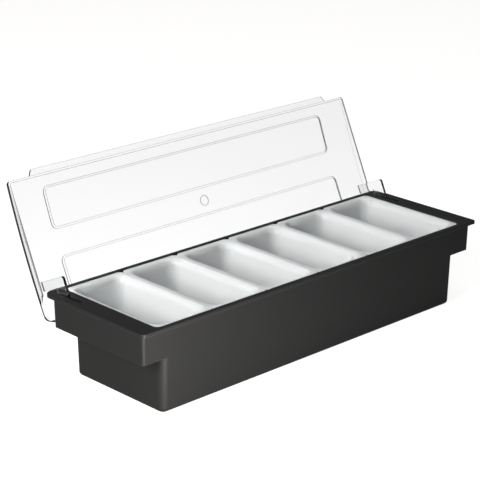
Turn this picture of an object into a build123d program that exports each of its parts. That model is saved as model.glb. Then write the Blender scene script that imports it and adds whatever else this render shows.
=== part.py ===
from build123d import *
import os
from math import atan2, hypot, radians, sin, sqrt, tan

# Bar garnish tray: a black moulded tub with a flat deck and a gripping skirt at each end,
# six lift-out inserts side by side, and a clear lid whose two tabs hook through slots in
# the decks. Millimetres. The origin is under the middle of the tub, on the plane that it
# stands on. +X runs along the row of inserts and the front faces -Y.

# Row of inserts, which sets the length of the tub and the lid
insert_count = 6
insert_pitch = 75.0
insert_gap = 0.3
insert_clearance = 0.35
insert_rim_thickness = 1.8
insert_rim_drop = 0.7
insert_rim_radius = 6.0
insert_side_flange = 7.4
insert_front_flange = 6.9
insert_back_flange = 6.75
insert_wall = 1.2
insert_floor = 2.0
insert_draft_angle = 3.0
insert_inner_radius = 10.5
insert_bottom_inner_radius = 4.5
insert_mouth_radius = 7.8
insert_root_radius = 5.6

# Rim of the tub
tray_depth = 154.0
tray_height = 94.5
deck_length = 22.3
front_border = 5.8
back_border = 4.95
rim_thickness = 3.6
rim_front_corner_radius = 4.0
rim_back_corner_radius = 10.0
rim_edge_radius = 0.8

# Walls and floor of the tub, with room for ice under the inserts and in front of them
draft_angle = 1.5
tub_wall = 1.8
tub_floor = 3.0
tub_inner_radius = 7.7
tub_bottom_inner_radius = 2.7
ice_room = 9.5
front_room = 5.35
ledge_width = 0.6
ledge_thickness = 1.8
ledge_corner_radius = 8.0
seat_width = 1.7
lip_room = 6.0
lip_front_room = 2.0

# Gripping skirts under the end decks, open underneath
skirt_inset = 4.2
skirt_drop = 31.9
skirt_wall = 2.4
skirt_inner_radius = 1.1

# Slots in the decks
slot_inset = 11.5
slot_width = 6.0
slot_back_border = 9.0
slot_front_clearance = 8.0

# Lid, given here as it lies when closed: a shallow barrel over flat-bottomed end walls
lid_end_inset = 2.0
lid_front_inset = 6.6
lid_rear_reach = 2.0
lid_plate = 2.0
lid_wall = 2.2
lid_seat_gap = 0.3
lid_front_height = 3.2
lid_crown_height = 8.5
lid_crown_inset = 50.0
lid_front_inner_radius = 1.5
lid_rear_inner_radius = 7.0
lid_roll_inner_radius = 4.3
lid_rear_lift = 1.5
lip_inset = 28.5
lip_reach = 6.6
lip_slant = 4.0
lip_thickness = 2.0
lip_corner_radius = 1.5

# Two raised panels that stiffen the lid, with a round mould mark between them
panel_inset = 41.5
panel_depth = 45.5
panel_band = 28.0
panel_offset = 1.8
panel_rise = 1.2
panel_inner_radius = 5.0
mark_radius = 6.0
mark_line = 0.8
mark_depth = 0.4

# Hinge: each tab turns in its slot, and its arm stops against the back of the rim
hinge_inset = 13.4
hinge_clearance = 0.4
rim_clearance = 0.3
wall_notch_clearance = 1.0
lid_opening_angle = 115.0
tab_thickness = 3.0
tab_drop = 32.2
tab_arm_width = 9.7
tab_heel_gap = 3.2
tab_heel_setback = 0.8
tab_corner_radius = 3.0

# How far a cut runs past the face that it starts from
overrun = 1.0

# Heights and depths that follow
rim_underside = tray_height - rim_thickness
insert_top = tray_height - insert_rim_drop
ledge_height = insert_top - insert_rim_thickness
rim_front = -tray_depth / 2
rim_back = tray_depth / 2
recess_front = rim_front + front_border
recess_back = rim_back - back_border
insert_front = recess_front + insert_clearance
insert_back = recess_back - insert_clearance

# Walls that follow, measured where the insert rims rest
body_front = insert_front + insert_front_flange
body_back = insert_back - insert_back_flange
wall_front = body_front - front_room - tub_wall
wall_back = body_back + insert_clearance + tub_wall

# Lengths that follow
insert_half_width = (insert_pitch - insert_gap) / 2
body_half_width = insert_half_width - insert_side_flange
last_middle = (insert_count - 1) * insert_pitch / 2
recess_half_length = last_middle + insert_half_width + insert_clearance
tub_half_length = last_middle + body_half_width + insert_clearance + tub_wall
tray_half_length = recess_half_length + deck_length
slot_offset = tray_half_length - slot_inset

# Lid places that follow
lid_half_length = tray_half_length - lid_end_inset
lid_front = rim_front + lid_front_inset
lid_back = rim_back + lid_rear_reach
lid_underside = tray_height + lid_seat_gap
lid_top = lid_underside + lid_crown_height

# The lid's barrel is one arc, level at its crown, that falls to the height of the front
crown_y = lid_back - lid_crown_inset
crown_fall = lid_crown_height - lid_front_height
crown_radius = ((crown_y - lid_front) ** 2 + crown_fall ** 2) / (2 * crown_fall)
crown_centre = lid_top - crown_radius


def crown_at(y):
    """Height of the lid's outer face above the point y."""
    return crown_centre + sqrt(crown_radius ** 2 - (y - crown_y) ** 2)


# The hinge sits as high as lets the plate clear the rim's back edge when the lid turns
hinge_y = rim_back - hinge_inset
plate_room = crown_at(hinge_y) - lid_plate - tray_height - hinge_clearance
hinge_drop = (hinge_inset ** 2 - plate_room ** 2) / (2 * plate_room)
hinge_z = tray_height - hinge_drop
rim_sweep = hypot(hinge_inset, hinge_drop)

# In the open lid's own frame, the arm's back face stands just off the rim's back edge
edge_angle = atan2(hinge_inset, hinge_drop)
arm_back = hinge_y - rim_sweep * sin(radians(lid_opening_angle) - edge_angle) - rim_clearance
arm_front = arm_back - tab_arm_width


def plan(half_length, front, back, front_radius, back_radius):
    """A rectangle on the ground plane, centred along X, with rounded corners."""
    face = Pos(0, (front + back) / 2) * Rectangle(2 * half_length, back - front)
    face = fillet(face.vertices().group_by(Axis.Y)[0], front_radius)
    return fillet(face.vertices().group_by(Axis.Y)[-1], back_radius)


def drafted_block(face, top, height, angle):
    """A block that hangs down from the height top and narrows downwards."""
    rising = extrude(face, amount=height, taper=angle)
    return Pos(0, 0, top) * mirror(rising, about=Plane.XY)


def round_bottom(block, radius):
    return fillet(block.edges().group_by(Axis.Z)[0], radius)


def tub_outside():
    radius = tub_inner_radius + tub_wall
    face = plan(tub_half_length, wall_front, wall_back, radius, radius)
    block = drafted_block(face, ledge_height, ledge_height, draft_angle)
    return round_bottom(block, tub_bottom_inner_radius + tub_wall)


def tub_cavity():
    face = plan(tub_half_length - tub_wall, wall_front + tub_wall, wall_back - tub_wall,
                tub_inner_radius, tub_inner_radius)
    block = drafted_block(face, ledge_height, ledge_height - tub_floor, draft_angle)
    return round_bottom(block, tub_bottom_inner_radius)


def end_skirts():
    # One hanging ring: its long sides lie in the tub's walls, its ends stand off from the tub
    radius = skirt_inner_radius + skirt_wall
    half_length = tray_half_length - skirt_inset
    height = ledge_height - rim_underside + skirt_drop
    outer_face = plan(half_length, wall_front, wall_back, radius, radius)
    inner_face = plan(half_length - skirt_wall, wall_front + skirt_wall, wall_back - skirt_wall,
                      skirt_inner_radius, skirt_inner_radius)
    outside = drafted_block(outer_face, ledge_height, height, draft_angle)
    return outside - drafted_block(inner_face, ledge_height, height + overrun, draft_angle)


def rim():
    face = plan(tray_half_length, rim_front, rim_back, rim_front_corner_radius, rim_back_corner_radius)
    slab = Pos(0, 0, rim_underside) * extrude(face, amount=rim_thickness)
    return fillet(slab.edges().group_by(Axis.Z)[-1], rim_edge_radius)


def ledge():
    # Steps out from the tub's walls at the ends and the back, where the inserts' lips spread
    face = plan(recess_half_length + ledge_width, wall_front, recess_back + ledge_width,
                ledge_corner_radius, ledge_corner_radius)
    return drafted_block(face, ledge_height, lip_room + ledge_thickness, draft_angle)


def lip_pocket():
    # Room inside the ledge for the round lips, which leaves a narrow seat for the flat rims
    radius = insert_rim_radius + insert_clearance - seat_width
    face = plan(recess_half_length - seat_width, body_front - lip_front_room,
                recess_back - seat_width, radius, radius)
    return Pos(0, 0, ledge_height - lip_room) * extrude(face, amount=lip_room + overrun)


def insert_recess():
    radius = insert_rim_radius + insert_clearance
    face = plan(recess_half_length, recess_front, recess_back, radius, radius)
    return Pos(0, 0, ledge_height) * extrude(face, amount=tray_height - ledge_height + overrun)


def deck_slot(side):
    front = arm_front - slot_front_clearance
    back = rim_back - slot_back_border
    cutter = extrude(SlotOverall(back - front, slot_width, rotation=90), amount=rim_thickness + 2 * overrun)
    return Pos(side * slot_offset, (front + back) / 2, rim_underside - overrun) * cutter


def make_base():
    solid = tub_outside() + end_skirts() + ledge() + rim()
    solid -= tub_cavity() + lip_pocket() + insert_recess()
    for side in (-1, 1):
        solid -= deck_slot(side)
    return solid


def make_insert(middle):
    # The flat rim hangs on the ledge and the body hangs inside the tub, clear of its walls
    bottom = tub_floor + ice_room
    outer_radius = insert_inner_radius + insert_wall
    body_face = plan(body_half_width, body_front, body_back, outer_radius, outer_radius)
    body = drafted_block(body_face, ledge_height, ledge_height - bottom, insert_draft_angle)
    solid = round_bottom(body, insert_bottom_inner_radius + insert_wall)
    rim_face = plan(insert_half_width, insert_front, insert_back, insert_rim_radius, insert_rim_radius)
    solid += Pos(0, 0, ledge_height) * extrude(rim_face, amount=insert_rim_thickness)
    underside = solid.faces().filter_by(Axis.Z).group_by(Axis.Z)[1][0]
    solid = fillet(underside.inner_wires()[0].edges(), insert_root_radius)

    # The inside keeps the draft up to the top of the rim, where it flares into a wide round lip
    inset = insert_wall - insert_rim_thickness * tan(radians(insert_draft_angle))
    hollow_face = plan(body_half_width - inset, body_front + inset, body_back - inset,
                       outer_radius - inset, outer_radius - inset)
    depth = insert_top - bottom - insert_floor
    hollow = drafted_block(hollow_face, insert_top, depth, insert_draft_angle)
    solid -= round_bottom(hollow, insert_bottom_inner_radius)
    mouth = solid.faces().sort_by(Axis.Z)[-1].inner_wires()[0].edges()
    return Pos(middle, 0, 0) * fillet(mouth, insert_mouth_radius)


def barrel(inset):
    """The round of the lid, taken in by the given depth, as a bar along X."""
    section = Pos(0, crown_y, crown_centre) * (Plane.YZ * Circle(crown_radius - inset))
    return extrude(section, amount=tray_half_length, both=True)


def domed_block(inset_plate, inset_wall, bottom, roll_radius, front_radius, rear_radius):
    """The space under the lid's round, with its rear edge rolled over and its corners rounded."""
    half_length = lid_half_length - inset_wall
    front = lid_front + inset_wall
    back = lid_back - inset_plate
    height = lid_top + overrun - bottom
    box_face = Rectangle(2 * (half_length + overrun), back - front + overrun)
    box = Pos(0, (front - overrun + back) / 2, bottom) * extrude(box_face, amount=height)
    block = box & barrel(inset_plate)
    rear_edge = block.edges().filter_by(Axis.X).group_by(Axis.Y)[-1].sort_by(Axis.Z)[-1]
    block = fillet(rear_edge, roll_radius)
    outline = plan(half_length, front, back, front_radius, rear_radius)
    return block & (Pos(0, 0, bottom) * extrude(outline, amount=height))


def lid_shell():
    """The domed plate with its front wall, end walls and rolled rear edge."""
    outside = domed_block(0, 0, lid_underside, lid_roll_inner_radius + lid_plate,
                          lid_front_inner_radius + lid_wall, lid_rear_inner_radius + lid_plate)
    inside = domed_block(lid_plate, lid_wall, lid_underside - overrun, lid_roll_inner_radius,
                         lid_front_inner_radius, lid_rear_inner_radius)
    # The tub's rim swings through the end walls behind the tabs, so they are cut away round the
    # hinge, up to the underside of the plate
    sweep = Pos(0, hinge_y, hinge_z) * (Plane.YZ * Circle(rim_sweep + wall_notch_clearance))
    notch = extrude(sweep, amount=tray_half_length, both=True) & barrel(lid_plate)
    rear_cut = Pos(0, lid_back, lid_underside) * Box(
        2 * tray_half_length, 2 * hinge_inset, 2 * lid_rear_lift)
    return outside - (inside + notch) - rear_cut


def finger_lip():
    half_length = lid_half_length - lip_inset
    outer_y = lid_front - lip_reach
    inner_y = lid_front + lid_wall
    face = make_face(Polyline(
        (-half_length, inner_y), (half_length, inner_y), (half_length, lid_front),
        (half_length - lip_slant, outer_y), (lip_slant - half_length, outer_y),
        (-half_length, lid_front), close=True))
    face = fillet(face.vertices().group_by(Axis.Y)[0], lip_corner_radius)
    return Pos(0, 0, lid_underside + lid_front_height - lip_thickness) * extrude(face, amount=lip_thickness)


def panel_block(middle, inset):
    radius = panel_inner_radius + lid_plate - inset
    face = plan(lid_half_length - panel_inset - inset, middle - panel_depth / 2 + inset,
                middle + panel_depth / 2 - inset, radius, radius)
    return Pos(0, 0, lid_underside) * extrude(face, amount=lid_crown_height + panel_rise + overrun)


def mould_mark():
    ring = Circle(mark_radius) - Circle(mark_radius - mark_line)
    middle = (lid_front + lid_back) / 2 - panel_offset
    base = crown_at(middle) - lid_plate - overrun
    return Pos(0, middle, base) * extrude(ring, amount=overrun + mark_depth)


def hinge_tab(side):
    """An arm that stands down from the plate, with a heel that reaches back under the deck."""
    root = lid_top - lid_plate / 2
    tab_bottom = lid_underside - tab_drop
    heel_top = hinge_z - tab_heel_gap
    heel_back = hinge_y - tab_heel_setback
    outline = Polyline(
        (arm_front, root), (arm_back, root), (arm_back, heel_top),
        (heel_back, heel_top), (heel_back, tab_bottom), (arm_front, tab_bottom), close=True)
    solid = extrude(make_face(Plane.YZ * outline), amount=tab_thickness / 2, both=True)
    bottom_edges = solid.edges().filter_by(Axis.X).group_by(Axis.Z)[0]
    return Pos(side * slot_offset, 0, 0) * fillet(bottom_edges, tab_corner_radius)


def make_lid():
    closed = lid_shell() + finger_lip()
    raised = barrel(-panel_rise) - barrel(lid_plate / 2)
    hollow = barrel(lid_plate - panel_rise)
    for side in (-1, 1):
        middle = (lid_front + lid_back) / 2 - panel_offset + side * (panel_band + panel_depth) / 2
        closed += panel_block(middle, 0) & raised
        closed -= panel_block(middle, lid_plate) & hollow
        closed += hinge_tab(side)
    closed -= mould_mark()
    return closed.rotate(Axis((0, hinge_y, hinge_z), (1, 0, 0)), -lid_opening_angle)


os.makedirs("parts", exist_ok=True)
export_step(make_base(), "parts/base_tub.step")
for number in range(insert_count):
    insert = make_insert(number * insert_pitch - last_middle)
    export_step(insert, "parts/insert_" + str(number + 1) + ".step")
export_step(make_lid(), "parts/lid.step")
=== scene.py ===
import math
import bpy
from mathutils import Matrix, Vector

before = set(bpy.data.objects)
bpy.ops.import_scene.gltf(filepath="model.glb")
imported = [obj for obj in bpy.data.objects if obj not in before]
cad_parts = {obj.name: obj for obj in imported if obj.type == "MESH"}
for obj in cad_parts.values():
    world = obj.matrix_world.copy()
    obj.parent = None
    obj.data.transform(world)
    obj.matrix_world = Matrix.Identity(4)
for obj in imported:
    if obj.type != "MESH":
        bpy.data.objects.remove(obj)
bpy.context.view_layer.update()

# The view of the photograph: from the front left corner, looking down at about twenty degrees.
# The lens is long, so the row of inserts hardly narrows towards its far end.
camera_aim = Vector((0.01775, 0.06822, 0.08858))
camera_azimuth = math.radians(-43.786)
camera_elevation = math.radians(19.535)
camera_roll = math.radians(0.302)
camera_distance = 1.925
camera_lens = 131.26
camera_sensor = 36.0

backward = Vector((math.sin(camera_azimuth) * math.cos(camera_elevation),
                   -math.cos(camera_azimuth) * math.cos(camera_elevation),
                   math.sin(camera_elevation)))
level_right = Vector((0, 0, 1)).cross(backward).normalized()
level_up = backward.cross(level_right)
right = level_right * math.cos(camera_roll) + level_up * math.sin(camera_roll)
up = level_up * math.cos(camera_roll) - level_right * math.sin(camera_roll)
camera_data = bpy.data.cameras.new("photograph_view")
camera_data.lens = camera_lens
camera_data.sensor_width = camera_sensor
camera = bpy.data.objects.new("photograph_view", camera_data)
bpy.context.scene.collection.objects.link(camera)
turn = Matrix((right, up, backward)).transposed().to_4x4()
camera.matrix_world = Matrix.Translation(camera_aim + backward * camera_distance) @ turn
bpy.context.scene.camera = camera
bpy.context.scene.view_settings.view_transform = "Standard"


# The studio: a wide matt table that runs out of sight, and a plain room. The camera sees both as
# white, straight on or through the clear lid. Reflections and stray light see them much dimmer,
# so that they don't wash out the black tub.
table_half_length = 9.0
table_colour = (0.34, 0.337, 0.33, 1.0)
table_roughness = 0.95
table_gloss = 0.1
table_glow_colour = (1.0, 0.995, 0.985, 1.0)
table_glow = 0.87
room_colour = (1.0, 1.0, 1.0, 1.0)
room_light = 0.16
background_white = 1.0


def new_material(name):
    """An empty node material, with its node tree and its output."""
    material = bpy.data.materials.new(name)
    material.use_nodes = True
    material.node_tree.nodes.clear()
    output = material.node_tree.nodes.new("ShaderNodeOutputMaterial")
    return material, material.node_tree, output


def add_node(tree, kind, settings=(), values=()):
    """One node with its settings and the values of its own sockets."""
    node = tree.nodes.new(kind)
    for name, setting in dict(settings).items():
        setattr(node, name, setting)
    for name, value in dict(values).items():
        node.inputs[name].default_value = value
    return node


def seen_directly(tree):
    """1 for rays from the camera, also straight through the clear lid, and 0 for other light."""
    path = add_node(tree, "ShaderNodeLightPath")
    straight = add_node(tree, "ShaderNodeMath", {"operation": "SUBTRACT", "use_clamp": True})
    tree.links.new(path.outputs["Is Transmission Ray"], straight.inputs[0])
    tree.links.new(path.outputs["Glossy Depth"], straight.inputs[1])
    clear = add_node(tree, "ShaderNodeMath", {"operation": "MAXIMUM"})
    tree.links.new(path.outputs["Is Camera Ray"], clear.inputs[0])
    tree.links.new(straight.outputs[0], clear.inputs[1])
    return clear.outputs[0]


def scaled(tree, source, low, high):
    """A value between low and high that follows a value between 0 and 1."""
    node = add_node(tree, "ShaderNodeMapRange", values={"To Min": low, "To Max": high})
    tree.links.new(source, node.inputs["Value"])
    return node.outputs["Result"]


table_material, tree, output = new_material("matt_white_table")
shader = add_node(tree, "ShaderNodeBsdfPrincipled", values={
    "Base Color": table_colour, "Roughness": table_roughness,
    "Specular IOR Level": table_gloss, "Emission Color": table_glow_colour})
glow = scaled(tree, seen_directly(tree), 0.0, table_glow)
tree.links.new(glow, shader.inputs["Emission Strength"])
tree.links.new(shader.outputs[0], output.inputs["Surface"])
table_corners = [(x * table_half_length, y * table_half_length, 0.0)
                 for x, y in ((-1, -1), (1, -1), (1, 1), (-1, 1))]
table_mesh = bpy.data.meshes.new("table")
table_mesh.from_pydata(table_corners, [], [(0, 1, 2, 3)])
table_mesh.materials.append(table_material)
table = bpy.data.objects.new("table", table_mesh)
bpy.context.scene.collection.objects.link(table)

room = bpy.data.worlds.new("white_room")
room.use_nodes = True
bpy.context.scene.world = room
tree = room.node_tree
background = tree.nodes["Background"]
strength = scaled(tree, seen_directly(tree), room_light, background_white)
tree.links.new(strength, background.inputs["Strength"])
background.inputs["Color"].default_value = room_colour


def add_lamp(name, place, aim, width, height, power, colour):
    """A flat softbox that faces the point aim."""
    data = bpy.data.lights.new(name, "AREA")
    data.shape = "RECTANGLE"
    data.size = width
    data.size_y = height
    data.energy = power
    data.color = colour
    lamp = bpy.data.objects.new(name, data)
    lamp.location = place
    lamp.rotation_euler = (Vector(aim) - Vector(place)).to_track_quat("-Z", "Y").to_euler()
    lamp.visible_camera = False
    bpy.context.scene.collection.objects.link(lamp)


# The main softbox stands off the left end of the tray, a weaker one hangs over it, and a low
# strip in front lights the left of the front face from below the rim.
add_lamp("left_softbox", place=(-1.8, -0.12, 1.0), aim=(0.0, 0.0, 0.05),
         width=0.9, height=0.9, power=58.0, colour=(1.0, 0.98, 0.955))
add_lamp("overhead_softbox", place=(0.1, 0.1, 1.5), aim=(0.0, 0.0, 0.1),
         width=0.8, height=0.8, power=4.0, colour=(0.86, 0.94, 1.0))
add_lamp("low_front_strip", place=(-0.3, -0.45, 0.07), aim=(-0.17, -0.12, 0.03),
         width=0.25, height=0.04, power=5.6, colour=(1.0, 0.975, 0.94))


# The base tub is one moulding in black ABS. Its mould is spark-eroded, which leaves the whole
# outside in a fine even grain with a dull sheen. Its edges are painted lighter, partly as wear
# from handling and partly as a painted highlight. It stands on its flat bottom and carries all
# the other pieces.
tub_colour = (0.0092, 0.0092, 0.0095, 1.0)
tub_wear_and_highlight_colour = (0.055, 0.055, 0.054, 1.0)
tub_roughness = (0.44, 0.52)
tub_gloss = 0.25
tub_grain_size = 0.0006
tub_grain_strength = 0.25
tub_flow_size = 0.055
tub_edge_radius = 0.0006

# Any moulded plastic: how finely its grain and its slow flow marks are drawn, how much of the
# relief is grain, and how deep the relief is
grain_detail = 3.0
flow_detail = 2.0
detail_roughness = 0.55
grain_share = 0.35
relief_depth = 0.0001

# An edge is where a rounded normal leans away from the face. The mask starts at the first cosine
# of that lean and is full at the second.
edge_samples = 6
edge_start = 0.995
edge_full = 0.88


def moulded_surface():
    """A node group for moulded plastic: its slow flow marks, and their relief with fine grain."""
    group = bpy.data.node_groups.new("moulded_surface", "ShaderNodeTree")
    for name in ("Grain Size", "Flow Size"):
        group.interface.new_socket(name, in_out="INPUT", socket_type="NodeSocketFloat")
    for name in ("Flow", "Height"):
        group.interface.new_socket(name, in_out="OUTPUT", socket_type="NodeSocketFloat")
    start = add_node(group, "NodeGroupInput")
    end = add_node(group, "NodeGroupOutput")
    place = add_node(group, "ShaderNodeTexCoord")
    found = {}
    for name, detail in (("Grain", grain_detail), ("Flow", flow_detail)):
        scale = add_node(group, "ShaderNodeMath", {"operation": "DIVIDE"})
        scale.inputs[0].default_value = 1.0
        group.links.new(start.outputs[name + " Size"], scale.inputs[1])
        noise = add_node(group, "ShaderNodeTexNoise", values={
            "Detail": detail, "Roughness": detail_roughness})
        group.links.new(place.outputs["Object"], noise.inputs["Vector"])
        group.links.new(scale.outputs[0], noise.inputs["Scale"])
        found[name] = noise.outputs["Fac"]
    height = add_node(group, "ShaderNodeMath", {"operation": "MULTIPLY_ADD"})
    group.links.new(found["Grain"], height.inputs[0])
    height.inputs[1].default_value = grain_share
    group.links.new(found["Flow"], height.inputs[2])
    group.links.new(found["Flow"], end.inputs["Flow"])
    group.links.new(height.outputs[0], end.inputs["Height"])
    return group


def edge_mask():
    """A node group that is 1 on the rounding of an edge and 0 on flat faces."""
    group = bpy.data.node_groups.new("edge_mask", "ShaderNodeTree")
    group.interface.new_socket("Radius", in_out="INPUT", socket_type="NodeSocketFloat")
    for name, kind in (("Mask", "NodeSocketFloat"), ("Normal", "NodeSocketVector")):
        group.interface.new_socket(name, in_out="OUTPUT", socket_type=kind)
    start = add_node(group, "NodeGroupInput")
    end = add_node(group, "NodeGroupOutput")
    rounding = add_node(group, "ShaderNodeBevel", {"samples": edge_samples})
    group.links.new(start.outputs["Radius"], rounding.inputs["Radius"])
    facing = add_node(group, "ShaderNodeNewGeometry")
    agree = add_node(group, "ShaderNodeVectorMath", {"operation": "DOT_PRODUCT"})
    group.links.new(rounding.outputs["Normal"], agree.inputs[0])
    group.links.new(facing.outputs["Normal"], agree.inputs[1])
    mask = add_node(group, "ShaderNodeMapRange", values={
        "From Min": edge_start, "From Max": edge_full, "To Min": 0.0, "To Max": 1.0})
    group.links.new(agree.outputs["Value"], mask.inputs["Value"])
    group.links.new(mask.outputs["Result"], end.inputs["Mask"])
    group.links.new(rounding.outputs["Normal"], end.inputs["Normal"])
    return group


moulding = moulded_surface()
edges = edge_mask()


def use_group(tree, group, values):
    """A node group placed in a material with its own values."""
    node = add_node(tree, "ShaderNodeGroup", {"node_tree": group})
    for name, value in values.items():
        node.inputs[name].default_value = value
    return node


def blended(tree, share, first, second):
    """A colour between two colours, by a share that changes over the surface."""
    mix = add_node(tree, "ShaderNodeMix", {"data_type": "RGBA"})
    # The colour sockets of a Mix node share their names with others, and are known by number
    mix.inputs[6].default_value = first
    mix.inputs[7].default_value = second
    tree.links.new(share, mix.inputs[0])
    return mix.outputs[2]


def bumped(tree, height, strength, normal):
    """A normal that is roughened by a height, on top of the normal of a rounded edge."""
    bump = add_node(tree, "ShaderNodeBump", values={
        "Strength": strength, "Distance": relief_depth})
    tree.links.new(height, bump.inputs["Height"])
    tree.links.new(normal, bump.inputs["Normal"])
    return bump.outputs["Normal"]


def finish_node(node, material):
    """Gives a CAD node one material."""
    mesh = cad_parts[node].data
    mesh.materials.clear()
    mesh.materials.append(material)


tub_material, tree, output = new_material("black_abs")
shader = add_node(tree, "ShaderNodeBsdfPrincipled", values={"Specular IOR Level": tub_gloss})
surface = use_group(tree, moulding, {"Grain Size": tub_grain_size, "Flow Size": tub_flow_size})
edge = use_group(tree, edges, {"Radius": tub_edge_radius})
# Lighter edges: partly wear, partly a painted highlight along the rounded edges
colour = blended(tree, edge.outputs["Mask"], tub_colour, tub_wear_and_highlight_colour)
roughness = scaled(tree, surface.outputs["Flow"], *tub_roughness)
normal = bumped(tree, surface.outputs["Height"], tub_grain_strength, edge.outputs["Normal"])
tree.links.new(colour, shader.inputs["Base Color"])
tree.links.new(roughness, shader.inputs["Roughness"])
tree.links.new(normal, shader.inputs["Normal"])
tree.links.new(shader.outputs[0], output.inputs["Surface"])
finish_node("base_tub", tub_material)


# The six inserts are moulded in natural white polypropylene. It lets a little light into its
# thin walls, and has a waxy, even sheen. They hang by their rims on the tub's ledge and lift out.
insert_count = 6
insert_colour = (0.86, 0.865, 0.865, 1.0)
# Their edges are a painted highlight, a little lighter than the walls
insert_edge_highlight_colour = (0.90, 0.905, 0.905, 1.0)
insert_roughness = (0.34, 0.46)
insert_gloss = 0.4
insert_grain_size = 0.0009
insert_grain_strength = 0.1
insert_flow_size = 0.03
insert_edge_radius = 0.0007
insert_light_depth = 0.010
insert_light_spread = (1.0, 0.95, 0.92)

insert_material, tree, output = new_material("white_polypropylene")
shader = add_node(tree, "ShaderNodeBsdfPrincipled", values={
    "Specular IOR Level": insert_gloss, "Subsurface Weight": 1.0,
    "Subsurface Scale": insert_light_depth, "Subsurface Radius": insert_light_spread})
surface = use_group(tree, moulding, {
    "Grain Size": insert_grain_size, "Flow Size": insert_flow_size})
edge = use_group(tree, edges, {"Radius": insert_edge_radius})
# Painted highlight on the rounded edges
colour = blended(tree, edge.outputs["Mask"], insert_colour, insert_edge_highlight_colour)
roughness = scaled(tree, surface.outputs["Flow"], *insert_roughness)
normal = bumped(tree, surface.outputs["Height"], insert_grain_strength, edge.outputs["Normal"])
tree.links.new(colour, shader.inputs["Base Color"])
tree.links.new(roughness, shader.inputs["Roughness"])
tree.links.new(normal, shader.inputs["Normal"])
tree.links.new(shader.outputs[0], output.inputs["Surface"])
for number in range(1, insert_count + 1):
    finish_node("insert_" + str(number), insert_material)


# The lid is one moulding in clear styrene, polished inside and out. Its edges and the steps of
# its panels carry painted shade, a dark grey, and light passes through it to the table. Its two
# tabs hook into the slots of the tub's end decks.
lid_colour = (0.920, 0.929, 0.936, 1.0)
lid_edge_shade_colour = (0.10, 0.11, 0.12, 1.0)
lid_roughness = (0.015, 0.05)
lid_ior = 1.57
lid_grain_size = 0.004
lid_flow_size = 0.06
lid_edge_radius = 0.0007
lid_shadow_colour = (0.93, 0.935, 0.94, 1.0)

lid_material, tree, output = new_material("clear_styrene")
shader = add_node(tree, "ShaderNodeBsdfPrincipled", values={
    "Transmission Weight": 1.0, "IOR": lid_ior})
surface = use_group(tree, moulding, {"Grain Size": lid_grain_size, "Flow Size": lid_flow_size})
edge = use_group(tree, edges, {"Radius": lid_edge_radius})
# Painted shade on the edges and the steps of the panels
colour = blended(tree, edge.outputs["Mask"], lid_colour, lid_edge_shade_colour)
roughness = scaled(tree, surface.outputs["Flow"], *lid_roughness)
tree.links.new(colour, shader.inputs["Base Color"])
tree.links.new(roughness, shader.inputs["Roughness"])
thin_shadow = add_node(tree, "ShaderNodeBsdfTransparent", values={"Color": lid_shadow_colour})
path = add_node(tree, "ShaderNodeLightPath")
choice = add_node(tree, "ShaderNodeMixShader")
tree.links.new(path.outputs["Is Shadow Ray"], choice.inputs[0])
tree.links.new(shader.outputs[0], choice.inputs[1])
tree.links.new(thin_shadow.outputs[0], choice.inputs[2])
tree.links.new(choice.outputs[0], output.inputs["Surface"])
finish_node("lid", lid_material)
